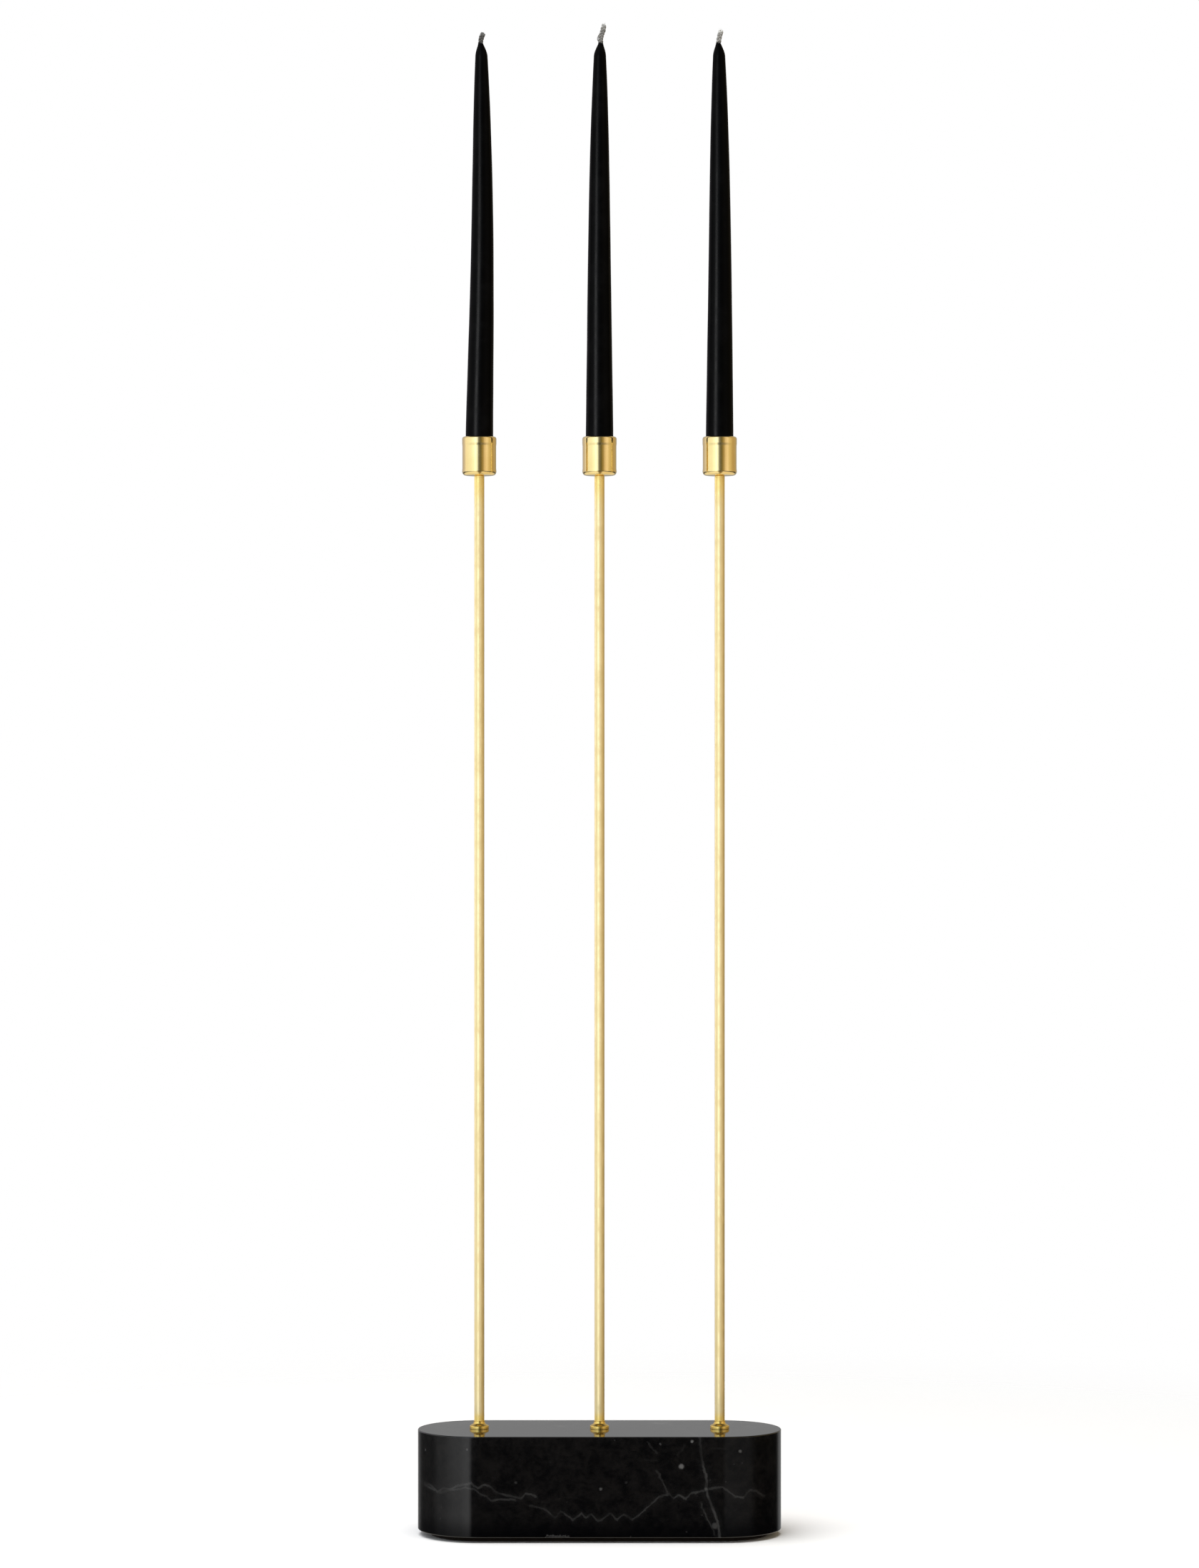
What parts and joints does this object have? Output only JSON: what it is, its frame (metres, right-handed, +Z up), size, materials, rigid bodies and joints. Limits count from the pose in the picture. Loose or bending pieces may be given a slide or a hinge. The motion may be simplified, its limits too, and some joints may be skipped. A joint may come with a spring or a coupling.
{
  "type": "taper candelabra",
  "caption": "Taper candelabra: slim polished brass stems in a row on a pill-shaped black marble base, each ending in a turned cup that holds a black taper candle.",
  "frame": {"origin": "on the surface that the felt pad rests on, under the middle of the base", "axes": "+Z up along the stems, +X along the row of stems, -Y to the front"},
  "size_m": [0.29, 0.098, 1.2059],
  "materials": {
    "black_marble": "polished",
    "polished_brass": "polished",
    "zinc_steel": "satin",
    "felt": "matte",
    "black_wax": "satin",
    "cotton_wick": "matte"
  },
  "bodies": {
    "stand": {"marble_base": "black_marble", "felt_pad": "felt", "left_collar": "polished_brass", "left_rod": "polished_brass", "left_cup": "polished_brass", "left_base_stud": "zinc_steel", "left_cup_stud": "zinc_steel", "left_washer": "zinc_steel", "left_lock_washer": "zinc_steel", "left_nut": "zinc_steel", "centre_collar": "polished_brass", "centre_rod": "polished_brass", "centre_cup": "polished_brass", "centre_base_stud": "zinc_steel", "centre_cup_stud": "zinc_steel", "centre_washer": "zinc_steel", "centre_lock_washer": "zinc_steel", "centre_nut": "zinc_steel", "right_collar": "polished_brass", "right_rod": "polished_brass", "right_cup": "polished_brass", "right_base_stud": "zinc_steel", "right_cup_stud": "zinc_steel", "right_washer": "zinc_steel", "right_lock_washer": "zinc_steel", "right_nut": "zinc_steel"},
    "left_taper": {"left_candle": "black_wax", "left_wick": "cotton_wick"},
    "centre_taper": {"centre_candle": "black_wax", "centre_wick": "cotton_wick"},
    "right_taper": {"right_candle": "black_wax", "right_wick": "cotton_wick"}
  },
  "joints": [
    {"name": "left_taper_lift", "type": "slide", "parent": "stand", "child": "left_taper", "axis": [0, 0, 1], "range_m": [0, 0.06]},
    {"name": "centre_taper_lift", "type": "slide", "parent": "stand", "child": "centre_taper", "axis": [0, 0, 1], "range_m": [0, 0.06]},
    {"name": "right_taper_lift", "type": "slide", "parent": "stand", "child": "right_taper", "axis": [0, 0, 1], "range_m": [0, 0.06]}
  ]
}
